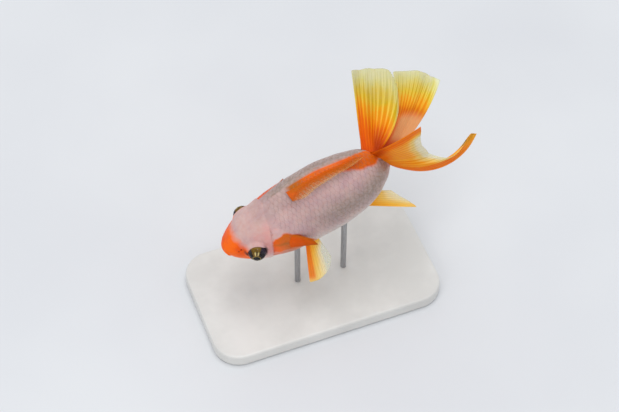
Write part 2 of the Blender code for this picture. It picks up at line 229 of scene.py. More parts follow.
def markings(s, angle, side):
    # how strongly each colour shows at a place on the body, 0 to 1
    left = side < 0
    fromTop = 90 - angle
    behind = s - gillEdge(angle)
    uneven = wobble(s, angle, side)
    cap = smoothThrough(marks["capAngles"], marks["capStations"], angle) + 0.35 * uneven
    orange = ease(cap + marks["capSoft"], cap - 0.3 * marks["capSoft"], s)

    leftTop, rightTop = (smoothThrough(marks["shoulder"], marks[key], s) for key in ("leftTop", "rightTop"))
    top = np.where(left, leftTop, rightTop) + 2 * uneven
    shoulder = ease(0.1, 0.6, behind) * ease(29.5, 27, s) * ease(top + 4, top - 3, angle)
    shoulder = shoulder * ease(marks["shoulderLow"] - 8, marks["shoulderLow"] + 4, angle)
    orange = np.maximum(orange, shoulder)

    # the ridge reaches further down the left side, more so towards the tail
    reach = np.where(left, smoothThrough(*marks["leftReach"], s), smoothThrough(*marks["rightReach"], s))
    ridge = ease(reach + 8, reach - 3, fromTop + 2 * uneven)
    ridge = ridge * np.where(left & (s < 50), ease(0.5, 5.5, fromTop + 0.1 * np.maximum(s - 40, 0)), 1)
    orange = np.maximum(orange, ridge * ease(marks["ridgeFrom"] - 1, marks["ridgeFrom"] + 2, s))
    orange = np.maximum(orange, 0.45 * ease(58.6, 60.4, s + 0.03 * angle))

    blush = 0.7 * bell(behind + 0.8, 1.7) * ease(-40, -5, angle) * ease(60, 30, angle)
    for strength, station, length, middle, height in marks["blushes"]:
        blush = blush + strength * bell(s - station, length) * bell(angle - middle, height)

    streak = smoothThrough(*marks["streak"], s)
    brown = ease(38, 30, s) * ease(24, 27, s) * ease(30, 16, fromTop) * np.where(left, 1, 0.4)
    brown = np.maximum(brown, 0.42 * ridge * ease(26, 34, s))
    brown = np.maximum(brown, shoulder * left * (0.55 * ease(15, 19, s) + 0.4 * bell(angle - streak, 3.5)))
    under = streak - marks["underStreak"]
    orange = orange * (1 - 0.4 * shoulder * left * ease(under + 4, under - 3, angle))
    return {
        "brown": brown,
        "orange": orange,
        "blush": np.clip(blush, 0, 1) * (1 - orange),
        # painted shade: grey stands in for shade on the flank, gill cover, back, crown and nape
        "paintedShade": np.clip(paintedShadeMask(s, angle, side), 0, 1),
        "pale": ease(-6, -45, angle),
    }


# meshes

def gridFaces(rows, columns, closed=False, start=0, flip=False):
    # quads of a grid of points; closed joins the last column to the first
    row, column = np.meshgrid(np.arange(rows - 1), np.arange(columns - (not closed)), indexing="ij")
    following = (column + 1) % columns
    corners = (
        row * columns + column,
        row * columns + following,
        (row + 1) * columns + following,
        (row + 1) * columns + column,
    )
    faces = np.stack(corners, -1).reshape(-1, 4) + start
    return faces[:, ::-1] if flip else faces


def cappedFaces(rows, count):
    # rings of points, and a point at each end that comes after them all
    faces = gridFaces(rows, count, closed=True).tolist()
    last = rows * count
    for i in range(count):
        j = (i + 1) % count
        faces.append((last, j, i))
        faces.append((last - count + i, last - count + j, last + 1))
    return faces


def sheetFaces(rows, columns):
    # a grid of points, the same grid again for its underside, and the rim between them
    size = rows * columns
    rim = np.concatenate((
        np.arange(columns),
        np.arange(2, rows + 1) * columns - 1,
        np.arange(size - 2, size - columns - 1, -1),
        np.arange(rows - 2, 0, -1) * columns,
    ))
    following = np.roll(rim, -1)
    border = np.stack((rim + size, following + size, following, rim), -1)
    return np.concatenate((gridFaces(rows, columns), gridFaces(rows, columns, start=size, flip=True), border))


def newPiece(name, points, faces, material, values=None):
    mesh = bpy.data.meshes.new(name)
    mesh.from_pydata(np.asarray(points).reshape(-1, 3).tolist(), [], [list(map(int, f)) for f in faces])
    mesh.shade_smooth()
    for attribute, numbers in (values or {}).items():
        layer = mesh.attributes.new(attribute, "FLOAT", "POINT")
        layer.data.foreach_set("value", np.asarray(numbers, np.float32).ravel())
    mesh.materials.append(material)
    obj = bpy.data.objects.new(name, mesh)
    bpy.context.scene.collection.objects.link(obj)
    return obj


# the unwrapped body: its share of the square and edge, the turn it is cut at, and its length
unwrapped = {"size": 0.96, "edge": 0.01, "cut": 0.25, "length": 62}


def addMap(obj, name, across, along):
    # a UV map from one pair of numbers a vertex
    mesh = obj.data
    corners = np.empty(len(mesh.loops), np.int32)
    mesh.loops.foreach_get("vertex_index", corners)
    uv = np.stack((np.ravel(across)[corners], np.ravel(along)[corners]), -1)
    layer = mesh.uv_layers.new(name=name)
    layer.data.foreach_set("uv", uv.astype(np.float32).ravel())
    return layer


def gridNormals(points, closed=True):
    # outwards or inwards at each point of a grid; closed where its columns go round
    along = np.gradient(points, axis=0)
    if closed:
        across = (np.roll(points, -1, axis=1) - np.roll(points, 1, axis=1)) / 2
    else:
        across = np.gradient(points, axis=1)
    normal = np.cross(along, across)
    return normal / (np.linalg.norm(normal, axis=-1, keepdims=True) + 1e-9)


# node helpers

class Nodes:
    def __init__(self, name):
        self.material = bpy.data.materials.new(name)
        self.material.use_nodes = True
        self.tree = self.material.node_tree
        self.shader = self.tree.nodes["Principled BSDF"]

    def give(self, socket, value):
        # a link where value is another node's output, else a plain value
        if isinstance(value, bpy.types.NodeSocket):
            self.tree.links.new(value, socket)
        else:
            socket.default_value = value

    def add(self, kind, inputs=(), **settings):
        node = self.tree.nodes.new("ShaderNode" + kind)
        for setting, value in settings.items():
            setattr(node, setting, value)
        for i, value in dict(inputs).items():
            self.give(node.inputs[i], value)
        return node

    def value(self, name):
        return self.add("Attribute", attribute_name=name).outputs["Fac"]

    def math(self, operation, a, b=0.0, clamp=False):
        return self.add("Math", {0: a, 1: b}, operation=operation, use_clamp=clamp).outputs[0]

    def times(self, a, b):
        return self.math("MULTIPLY", a, b)

    def plus(self, a, b, clamp=False):
        return self.math("ADD", a, b, clamp)

    def mix(self, amount, a, b, blend="MIX"):
        node = self.add("Mix", data_type="RGBA", blend_type=blend, clamp_factor=True)
        self.give(node.inputs[0], amount)
        self.give(node.inputs[6], a)
        self.give(node.inputs[7], b)
        return node.outputs[2]

    def coordinates(self, scale=(1, 1, 1)):
        place = self.add("TexCoord").outputs["Object"]
        return self.add("Mapping", {0: place, 3: scale}).outputs[0]

    def noise(self, scale, detail=3, roughness=0.6, vector=None):
        vector = vector or self.coordinates()
        settings = {"Vector": vector, "Scale": scale, "Detail": detail, "Roughness": roughness}
        return self.add("TexNoise", settings).outputs["Fac"]

    def ramp(self, amount, stops, smooth=True):
        node = self.add("ValToRGB", {0: amount})
        node.color_ramp.interpolation = "EASE" if smooth else "LINEAR"
        while len(node.color_ramp.elements) < len(stops):
            node.color_ramp.elements.new(0.5)
        for element, (place, colour) in zip(node.color_ramp.elements, stops):
            element.position = place
            element.color = colour if isinstance(colour, tuple) else (colour, colour, colour, 1)
        return node.outputs[0]

    def bump(self, height, strength, distance):
        node = self.add("Bump", {"Height": height, "Strength": strength, "Distance": distance})
        self.set(Normal=node.outputs[0])

    def set(self, **sockets):
        for socket, value in sockets.items():
            self.give(self.shader.inputs[socket.replace("_", " ")], value)

    def flesh(self, depth, scatter, shine, coat, coatRough, blue=0.4):
        # light spreads under the surface, most of all the red, and a wet film lies over it
        self.set(Subsurface_Weight=scatter, Subsurface_Radius=(1, 0.6, blue), Subsurface_Scale=depth)
        self.set(Specular_IOR_Level=shine, Coat_Weight=coat, Coat_Roughness=coatRough)

    def finish(self, colour, grain, smoothest, roughest):
        rough = self.ramp(grain, ((0.3, smoothest), (0.7, roughest)))
        self.set(Base_Color=colour, Roughness=rough)
        return self.material


def srgb(red, green, blue):
    # a colour as seen, 0 to 255, as the light that it stands for
    def light(level):
        level = level / 255
        return level / 12.92 if level <= 0.04045 else ((level + 0.055) / 1.055) ** 2.4

    return light(red), light(green), light(blue), 1


skinLook = {
    "pearl": srgb(220, 184, 177),
    "mauve": srgb(204, 166, 168),
    # grey is the colour of the painted shade and of the scales' painted rims, and also of the freckles
    "grey": srgb(150, 138, 126),
    "blush": srgb(230, 146, 140),
    "belly": srgb(226, 216, 208),
    "orange": srgb(255, 106, 0),
    "deepOrange": srgb(238, 86, 0),
    "brown": srgb(188, 100, 20),
    # dark is the painted shade of the mouth, socket and nostrils, and the colour of the smudges by the eye
    "dark": srgb(38, 26, 24),
}


def fishColour(made):
    # the body's colours and markings, and its painted shade, the same on skin and scales
    look = skinLook
    broad = made.noise(160)
    fine = made.noise(900, 4)
    colour = made.mix(made.ramp(broad, ((0.35, 0), (0.7, 1))), look["pearl"], look["mauve"])
    colour = made.mix(made.times(made.value("pale"), 0.8), colour, look["belly"])
    # painted shade: the body turns grey where the mask says, unevenly
    paintedShade = made.times(made.value("paintedShade"), made.ramp(fine, ((0.3, 0.55), (0.7, 1))))
    colour = made.mix(paintedShade, colour, look["grey"])
    blush = made.times(made.value("blush"), made.ramp(broad, ((0.3, 0.5), (0.7, 1))))
    colour = made.mix(blush, colour, look["blush"])
    warm = made.mix(made.ramp(broad, ((0.4, 0), (0.65, 1))), look["orange"], look["deepOrange"])
    warm = made.mix(made.value("brown"), warm, look["brown"])
    ragged = made.plus(made.value("orange"), made.times(fine, 0.3))
    edge = made.ramp(ragged, ((0.12, 0), (1.1, 1)), smooth=False)
    return made.mix(edge, colour, warm), fine


def skinMaterial():
    made = Nodes("wet skin")
    colour, fine = fishColour(made)
    # painted shade in the mouth, socket and nostrils, and the smudges by the eye
    colour = made.mix(made.value("dark"), colour, skinLook["dark"])
    freckle = made.noise(2600, 2, 0.5)
    colour = made.mix(made.ramp(freckle, ((0.64, 0), (0.76, 0.22))), colour, skinLook["grey"])
    pores = made.plus(made.times(fine, 0.6), made.times(freckle, 0.4))
    made.bump(pores, 0.3, 0.0001)
    made.flesh(0.0008, 0.12, 0.12, 0.08, 0.15)
    return made.finish(colour, fine, 0.34, 0.48)


def scaleMaterial():
    made = Nodes("pearly scale")
    colour, fine = fishColour(made)
    along = made.value("along")
    # painted shade along each scale's free edge, stronger where the body's painted shade is
    rim = made.ramp(along, ((0.8, 0), (0.97, 1)))
    shaded = made.plus(made.times(made.value("paintedShade"), 0.3), 0.01)
    colour = made.mix(made.times(rim, shaded), colour, skinLook["grey"])
    tone = made.ramp(made.value("tone"), ((0, 0.96), (1, 1)))
    colour = made.mix(1, colour, tone, "MULTIPLY")
    # fine radial grooves and growth rings of the scale
    radii = made.math("SINE", made.times(made.value("across"), 42))
    rings = made.math("SINE", made.times(along, 60))
    relief = made.plus(made.times(radii, 0.3), made.times(rings, 0.2))
    made.bump(made.plus(relief, fine), 0.18, 0.00006)
    made.flesh(0.0006, 0.1, 0.14, 0.08, 0.18)
    return made.finish(colour, fine, 0.32, 0.46)


# skin

skinShape = {
    "around": 256,
    # first, last and step of the rings' stations: their square roots on the snout, then plainly
    "snoutRings": (0.03, 2, 0.035),
    "headRings": (4.05, 19, 0.14),
    "bodyRings": (19, 58.9, 0.28),
    "closing": (0.75, 0.45, 0.18),  # sizes of the last rings, which close the stalk
    "depth": 0.17,  # the coat of scales over it
    "headDepth": 0.02,
    "lipHeight": 0.32,
    "slitDepth": 0.6,
    "mouthHalf": 2.3,
    "socket": 7.75,  # how far out the bottom of the eye socket lies
    "brow": 0.6,  # the fold of skin over the eye
    # station, angle, width and height of each pit and of the flap between them
    "nostrils": ((4.45, 17, 0.26, -0.5), (5.45, 22, 0.34, -0.6), (4.95, 20, 0.26, 0.22)),
    # crease within the gill cover: angle and station
    "crease": ((-90, -60, -45, -10, 25, 40, 90), (4, 7.5, 11.2, 13.3, 13.2, 12.4, 12)),
    # the fins grow out of low fleshy mounds: fin, side, height and width
    "mounds": (
        ("dorsal", 1, 0.35, 1),
        ("pectoral", -1, 0.45, 1.3),
        ("pectoral", 1, 0.45, 1.3),
        ("pelvic", -1, 0.45, 1.2),
        ("pelvic", 1, 0.45, 1.2),
        ("anal", -1, 0.5, 1.1),
    ),
    "vent": 42.4,
    # dark smudges behind and before the eye: station, height and strength
    "smudges": ((13.1, 1.2, 0.85), (6.6, 1.1, 0.9)),
}

# station and angle of the first and last ray
finRoots = {
    "dorsal": ((27, 88), (49.5, 90)),
    "pectoral": ((18.8, 23), (16.4, -22)),
    "pelvic": ((24.5, -60), (28.5, -66)),
    "anal": ((44, -88), (51, -88)),
}


def rootPoints(name, side, share, grow=0.0):
    # where a fin grows out of the body, at a share of the way from its first ray to its last
    first, last = finRoots[name]
    s = first[0] + (last[0] - first[0]) * share
    angle = first[1] + (last[1] - first[1]) * share
    return onBody(s, angle, side, grow)


def awayFromRoot(points, name, side):
    line = rootPoints(name, side, np.linspace(0, 1, 9))
    nearest = np.full(points.shape[:-1], np.inf)
    for start, end in zip(line, line[1:]):
        way = end - start
        share = np.clip(((points - start) @ way) / (way @ way), 0, 1)
        gap = np.linalg.norm(points - (start + share[..., None] * way), axis=-1)
        nearest = np.minimum(nearest, gap)
    return nearest


def awayFromNostril(points, place, angle):
    gaps = [np.linalg.norm(points - onBody(place, angle, half), axis=-1) for half in (-1, 1)]
    return np.minimum(*gaps)


def aboveMouth(s, up):
    # height over the line where the lips meet
    return up + 1.1 + 0.22 * s


def skinRelief(points, s, angle, out, up):
    # folds and swellings of the skin, outwards in millimetres
    look = skinShape
    lips = aboveMouth(s, up)
    mouth = np.hypot(lips, np.maximum(out - look["mouthHalf"], 0))
    slit = bell(lips, 0.17) * ease(look["mouthHalf"] + 0.5, look["mouthHalf"] - 0.1, out)
    snout = look["lipHeight"] * bell(mouth - 0.55, 0.4) - look["slitDepth"] * slit
    snout += 0.2 * bell(mouth, 1.9) - 0.14 * bell(mouth - 1.3, 0.25)
    relief = ease(4.5, 2.5, s) * snout
    for place, turn, width, height in look["nostrils"]:
        relief += height * bell(awayFromNostril(points, place, turn), width)

    # gill cover: swells towards its rear edge, then drops to the shoulder
    behind = s - gillEdge(angle)
    firm = 0.2 + 0.8 * ease(48, 20, angle)
    cover = np.where(behind < 0, bell(behind, 2.6), bell(behind, 0.13))
    relief += firm * (0.34 * cover - 0.24 * bell(behind - 0.42, 0.32))
    inner = s - smoothThrough(*look["crease"], angle)
    relief -= 0.13 * bell(inner, 0.28) * ease(-72, -55, angle) * ease(38, 22, angle)
    relief += 0.06 * np.sin(np.radians(angle) * 26) * bell(behind + 2, 1.4) * ease(30, 10, angle)
    throat = ease(-52, -62, angle) * ease(14, 10, s) * ease(4, 7, s)
    relief += 0.09 * np.sin(np.radians(angle) * 34) * throat
    relief -= 0.35 * bell(angle + 90, 6) * ease(4, 7, s) * ease(15, 11, s)

    for name, side, height, width in look["mounds"]:
        relief += height * bell(awayFromRoot(points, name, side), width)
    relief += 0.5 * bell(np.linalg.norm(points - onBody(look["vent"], -90), axis=-1), 0.8)
    return relief


def eyeSocket(s, out, up):
    # the eye sits in a socket with a soft rim, and the skin lies against the upper part of the ball
    above = up - eye["up"]
    away = np.hypot(s - eye["at"], above)
    nearEye = (s > 5) & (s < 15)
    rim = 0.22 * bell(away - 3.45, 0.42) - 0.14 * bell(away - 4.3, 0.4)
    rim = rim + skinShape["brow"] * bell(away - 3.2, 0.45) * ease(0.4, 2.4, above)
    sunk = ease(3.2, 2.86, away) * nearEye * (1 - ease(0.8, 1.8, above))
    return (out + rim * nearEye) * (1 - sunk) + np.minimum(out, skinShape["socket"]) * sunk


def paintedShadeAndSmudges(points, s, out, up):
    # painted shade in the slit of the mouth, the inside of the socket and the pits of the nostrils, and the
    # dark smudges
    dark = 0.75 * bell(aboveMouth(s, up), 0.16) * (s < 3) * ease(2.8, 2.2, out)
    away = np.hypot(s - eye["at"], up - eye["up"])
    dark = np.maximum(dark, ease(3.15, 2.95, away))
    for place, height, strength in skinShape["smudges"]:
        dark = np.maximum(dark, strength * bell(np.hypot((s - place) / 0.5, (up - 0.9) / height), 1))
    for place, turn, width, height in skinShape["nostrils"]:
        if height < 0:
            dark = np.maximum(dark, 0.8 * bell(awayFromNostril(points, place, turn), 0.9 * width))
    return np.clip(dark, 0, 1)


def unwrapSkin(skin, rows, count):
    # along the body and round it, cut down the belly
    across = np.append(np.repeat(np.arange(rows) / rows, count), (0, 1))
    around = np.append(np.tile((np.arange(count) / count + unwrapped["cut"]) % 1, rows), (0.5, 0.5))
    layer = addMap(skin, "OFBake", across, around)
    uv = np.empty(len(skin.data.loops) * 2, np.float32)
    layer.data.foreach_get("uv", uv)
    quads = uv[: (rows - 1) * count * 8].reshape(-1, 4, 2)
    # faces over the cut stay whole
    wrapped = np.ptp(quads[:, :, 1], axis=1) > 0.5
    quads[wrapped, :, 1] += quads[wrapped, :, 1] < 0.5
    layer.data.foreach_set("uv", uv * unwrapped["size"] + unwrapped["edge"])


def makeSkin(material):
    look = skinShape
    stations = np.concatenate((
        np.arange(*look["snoutRings"]) ** 2,
        np.arange(*look["headRings"]),
        np.arange(*look["bodyRings"]),
    ))
    count = look["around"]
    turn = 2 * np.pi * np.arange(count) / count
    turn = np.degrees(turn - 0.2 * np.sin(2 * turn))  # closer together along the flanks
    side = np.where((turn < 90) | (turn > 270), 1, -1)
    angle = np.degrees(np.arcsin(np.clip(np.sin(np.radians(turn)), -1, 1)))
    s, out, up = onStalk(stations[:, None], angle[None])
    angle = np.broadcast_to(angle, s.shape)
    side = np.broadcast_to(side, s.shape)
    plain = beside(s, side * out, up)
    normal = gridNormals(plain)
    normal *= np.sign(np.sum((plain - beside(s, 0, 0)) * normal, -1, keepdims=True) + 1e-9)
    scaled = ease(0, 0.8, s - gillEdge(angle))
    depth = look["headDepth"] + (look["depth"] - look["headDepth"]) * scaled
    outsideEye = np.hypot(s - eye["at"], up - eye["up"]) > 3.3
    relief = skinRelief(plain, s, angle, out, up) * outsideEye
    points = beside(s, side * eyeSocket(s, out, up), up) + normal * (relief - depth)[..., None]

    # close the snout with a point, and the stalk with smaller rings and a point
    rear = points[-1].mean(0)
    way = 2 * (rear - points[-2].mean(0))
    closing = [points[-1] * size + (rear + 1.2 * way) * (1 - size) for size in look["closing"]]
    rings = np.concatenate((points, closing))
    ends = (points[0].mean(0), rear + 1.1 * way)
    values = markings(s, angle, side)
    values["dark"] = paintedShadeAndSmudges(plain, s, out, up)
    for name, grid in values.items():
        grid = np.broadcast_to(grid, s.shape)
        rest = np.repeat(grid[-1:], len(closing), axis=0)
        values[name] = np.concatenate((grid.ravel(), rest.ravel(), (grid[0].mean(), grid[-1].mean())))
    flat = posed(np.concatenate((rings.reshape(-1, 3), ends)))
    skin = newPiece("skin", flat, cappedFaces(len(rings), count), material, values)
    unwrapSkin(skin, len(rings), count)
    print("skin:", len(skin.data.polygons), "faces")
    return skin


# scales

scaleLook = {
    "spacing": 1.55,  # from one to the next along a row
    "rowsPerSide": 17,
    "edgeAngle": 88,  # the rows lie between this far below and above the flank
    "first": 14,
    "atMost": 40,
    "last": 58.2,
    "behindGill": 0.4,
    "length": 2.35,  # of a whole scale, in spacings
    "halfWidth": 1.18,  # in row spacings
    "ahead": 0.9,  # a root lies this far ahead of its seat, under the scale before it
    "rise": 0.092,
    "thickness": 0.035,
    "columns": 11,
    "steps": 9,
    "mapWidth": 0.0015,
    "mapLength": 0.003,
    # room round the roots of the fins
    "room": {"dorsal": 0.7, "pectoral": 1.1, "pelvic": 0.9, "anal": 0.8},
}


def scaleSeats(side):
    # station and angle of each scale, in rows that run from the head tailwards
    look = scaleLook
    seats = []
    for row in range(look["rowsPerSide"]):
        angle = look["edgeAngle"] * (2 * row + 1 - look["rowsPerSide"]) / look["rowsPerSide"]
        first = float(gillEdge(angle)) + look["behindGill"]
        # the rows stop short of the tail fins' roots, further short where the right fin starts early
        short = 2.6 * ease(30, 75, angle) if side > 0 else 1.7 * ease(60, 84, angle)
        last = look["last"] - 1.2 * math.sin(math.radians(angle)) - short
        for i in range(look["atMost"]):
            s = look["first"] + look["spacing"] * (i + 0.5 * (row % 2))
            if first < s < last:
                seats.append((s, angle))
    seats = np.array(seats)
    points = onBody(seats[:, 0] + 0.6, seats[:, 1], side)
    clear = np.ones(len(seats), bool)
    for name, room in look["room"].items():
        half = {"dorsal": 1, "anal": -1}.get(name, side)
        clear &= awayFromRoot(points, name, half) > room
    return seats[clear]


def makeScales(side, name, material):
    look = scaleLook
    columns, steps = look["columns"], look["steps"]
    seats = scaleSeats(side)
    count = len(seats)
    seats[:, 0] += 0.04 * random.standard_normal(count)
    seats[:, 1] += 0.25 * random.standard_normal(count)
    size = 1 + 0.02 * random.standard_normal(count)[:, None, None]
    tone = random.random(count)[:, None, None]

    # u runs across each scale from -1 to 1, and v along it from its root
    u = np.linspace(-1, 1, columns)[None, None, :]
    v = np.linspace(0, 1, steps)[None, :, None]
    reach = look["length"] * look["spacing"] * v * np.sqrt(1 - 0.62 * u**2)
    halfWidth = look["halfWidth"] * 2 * look["edgeAngle"] / look["rowsPerSide"]
    spread = halfWidth * u * (0.82 + 0.18 * np.sin(np.pi * np.clip(1.1 * v, 0, 1)))
    station, angle = seats[:, 0, None, None], seats[:, 1, None, None]
    turned = angle if side > 0 else 180 - angle
    s = station + reach * size - look["ahead"]
    angle = angle + spread * size
    # at the back and belly a scale may lie across to the other side
    over = np.abs(angle) > 90
    half = np.where(over, -side, side)
    angle = np.where(over, np.sign(angle) * 180 - angle, angle)
    s, out, up = onStalk(s, angle)
    lift = look["rise"] * (0.05 + 0.95 * v**1.1) * (1 - 0.42 * u**4)
    thinner = 1 - 0.6 * np.maximum(np.abs(u), v) ** 6
    layers = []
    for drop in (0, look["thickness"]):
        grow = 0.01 - skinShape["depth"] + lift - drop * thinner
        right = half * (out + grow * np.cos(np.radians(angle)))
        layers.append(beside(s, right, up + grow * np.sin(np.radians(angle))))
    one = sheetFaces(steps, columns)[:, ::side]
    starts = 2 * columns * steps * np.arange(count)
    faces = (one[None] + starts[:, None, None]).reshape(-1, 4)

    def both(grid):
        # for the upper side and the underside
        return np.repeat(np.broadcast_to(grid, s.shape)[:, None], 2, axis=1).ravel()

    values = {key: both(grid) for key, grid in markings(s, angle, half).items()}
    values.update(along=both(v), across=both(u), tone=both(tone))
    piece = newPiece(name, posed(np.stack(layers, 1)), faces, material, values)
    # each scale is a small patch at its root's place on the unwrapped skin
    rootAcross = station / unwrapped["length"] * unwrapped["size"] + unwrapped["edge"]
    rootAround = (turned % 360 / 360 + unwrapped["cut"]) % 1 * unwrapped["size"] + unwrapped["edge"]
    patchAcross = both(rootAcross + look["mapLength"] * (v - 0.5))
    addMap(piece, "OFBake", patchAcross, both(rootAround + look["mapWidth"] * u))
    print(name + ":", count, "scales,", len(faces) * 2, "triangles")
    return piece


skin = makeSkin(skinMaterial())
scaleFinish = scaleMaterial()
scalesLeft = makeScales(-1, "scales_left", scaleFinish)
scalesRight = makeScales(1, "scales_right", scaleFinish)
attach(skin, "root")
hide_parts("head", "jaw", "gill_cover_left", "gill_cover_right", "trunk", "tail_stalk")
for piece in (scalesLeft, scalesRight):
    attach(piece, "root")


# eyes

eyeLook = {
    "pupil": 1.15,
    "iris": 2.35,
    "forward": 22,  # the pupils look this far ahead of straight out
    "around": 72,
    # first and last angle from the outward axis, and the number of rings
    "ball": (1, 150, 60),
    "lens": (0.6, 74, 34),
    "gold": srgb(160, 114, 32),
    "brightGoldAndGlint": srgb(255, 232, 150),
    "brown": srgb(70, 42, 10),
    "olive": srgb(124, 92, 18),
    "black": srgb(8, 6, 6),
    "violet": srgb(44, 34, 48),
}


def dome(side, first, last, rings, bulge):
    # rings of a ball about the eye's outward axis, between two polar angles in degrees
    behind, aside, up = axesAt(eye["at"], side)
    ahead = math.radians(eyeLook["forward"])
    out = aside * math.cos(ahead) - behind * math.sin(ahead)
    tail = behind * math.cos(ahead) + aside * math.sin(ahead)
    polar = np.radians(np.linspace(first, last, rings))[:, None]
    turn = np.linspace(0, 2 * np.pi, eyeLook["around"], endpoint=False)[None]
    length = eye["radius"] + bulge(polar)
    points = (
        beside(eye["at"], side * eye["out"], eye["up"])
        + (length * np.cos(polar))[..., None] * out
        + (length * np.sin(polar) * np.sin(turn))[..., None] * up
        + (length * np.sin(polar) * np.cos(turn))[..., None] * tail
    )
    return points, *np.broadcast_arrays(polar, turn)


def hollow(polar):
    # the iris lies under the cornea, and the pupil deeper still
    flatRadius = eye["radius"] * np.sin(polar)
    pupil = ease(eyeLook["pupil"] + 0.05, eyeLook["pupil"] - 0.12, flatRadius)
    iris = ease(eyeLook["iris"] + 0.15, eyeLook["iris"] - 0.2, flatRadius)
    return -0.05 * iris - 0.07 * pupil - 0.05


def eyeMaterial():
    made = Nodes("golden eye")
    look = eyeLook
    radius = made.value("radius")
    place = made.add("CombineXYZ", {
        0: made.times(made.value("turnX"), 9),
        1: made.times(made.value("turnY"), 9),
        2: made.times(radius, 1.2),
    })
    streaks = made.noise(1, vector=place.outputs[0])
    mottle = made.noise(1500)
    colour = made.mix(made.ramp(streaks, ((0.35, 0), (0.65, 1))), look["gold"], look["brown"])
    ring = made.ramp(radius, ((0.385, 0), (0.395, 0.6), (0.415, 0.6), (0.44, 0)))
    colour = made.mix(ring, colour, look["brightGoldAndGlint"])
    # painted highlights on the iris, in the same bright gold as the ring
    colour = made.mix(made.value("paintedGlint"), colour, look["brightGoldAndGlint"])
    colour = made.mix(made.ramp(radius, ((0.72, 0), (0.86, 1))), colour, look["olive"])
    patch = made.plus(made.value("patch"), made.times(mottle, 0.4))
    darkest = made.mix(made.ramp(radius, ((0.7, 0), (0.95, 1))), look["black"], look["violet"])
    colour = made.mix(made.ramp(patch, ((0.5, 0), (0.75, 1))), colour, darkest)
    colour = made.mix(made.ramp(radius, ((0.375, 1), (0.39, 0))), colour, look["black"])
    made.set(Specular_IOR_Level=0.2)
    made.bump(streaks, 0.25, 0.0001)
    return made.finish(colour, mottle, 0.25, 0.4)


def corneaMaterial():
    made = Nodes("clear cornea")
    # shines as little as a wet eye does under water
    made.set(Base_Color=(0.97, 0.98, 1, 1), Transmission_Weight=1, Roughness=0.02, IOR=1.2)
    made.bump(made.noise(1200, 2, 0.5), 0.02, 0.00002)
    return made.material


def makeEyeball(side, name, material):
    points, polar, turn = dome(side, *eyeLook["ball"], hollow)
    ends = (points[0].mean(0), points[-1].mean(0))
    faces = [face[::side] for face in cappedFaces(*polar.shape)]
    radius = np.where(polar > np.pi / 2, 1, np.sin(polar))
    degrees = np.degrees(turn)
    # black in front and behind, gold above and below
    fromTail = np.minimum(degrees, 360 - degrees)
    patch = np.maximum(bell(degrees - 160, 52), bell(fromTail - 5, 45)) * ease(0.42, 0.56, radius)
    slit = 0.9 * bell(degrees - 71, 5) * ease(0.42, 0.5, radius) * ease(0.92, 0.8, radius)
    # two painted highlights on the iris, above and a little behind the pupil
    paintedGlints = bell(degrees - 57, 6) + bell(degrees - 84, 7)
    values = {
        "radius": radius,
        "turnX": np.cos(turn),
        "turnY": np.sin(turn),
        "patch": np.maximum(patch, slit),
        "paintedGlint": paintedGlints * ease(0.46, 0.56, radius) * ease(0.9, 0.78, radius),
    }
    values = {key: np.append(grid.ravel(), (grid[0].mean(), grid[-1].mean())) for key, grid in values.items()}
    return newPiece(name, posed(np.concatenate((points.reshape(-1, 3), ends))), faces, material, values)


def makeCornea(side, name, material):
    # a clear lens on the ball, a little steeper than it
    outer = dome(side, *eyeLook["lens"], lambda polar: 0.05 * bell(polar, 0.7))[0]
    inner = dome(side, *eyeLook["lens"], lambda polar: hollow(polar) - 0.012)[0]
    rows, count = outer.shape[:2]
    size = rows * count
    rim = size - count
    faces = gridFaces(rows, count, closed=True).tolist()
    faces += gridFaces(rows, count, closed=True, start=size, flip=True).tolist()
    for i in range(count):
        j = (i + 1) % count
        faces.append((2 * size, j, i))
        faces.append((2 * size + 1, size + i, size + j))
        faces.append((rim + i, rim + j, size + rim + j, size + rim + i))
    poles = (outer[0].mean(0), inner[0].mean(0))
    points = np.concatenate((outer.reshape(-1, 3), inner.reshape(-1, 3), poles))
    return newPiece(name, posed(points), [face[::side] for face in faces], material)


ballFinish = eyeMaterial()
corneaFinish = corneaMaterial()
for side, word in ((-1, "left"), (1, "right")):
    eyeball = makeEyeball(side, "eyeball_" + word, ballFinish)
    cornea = makeCornea(side, "cornea_" + word, corneaFinish)
    for piece in (eyeball, cornea):
        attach(piece, "root")
    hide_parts("eye_" + word)
print("eyes")


# fins: each is a fan of branching rays with a thin skin between them

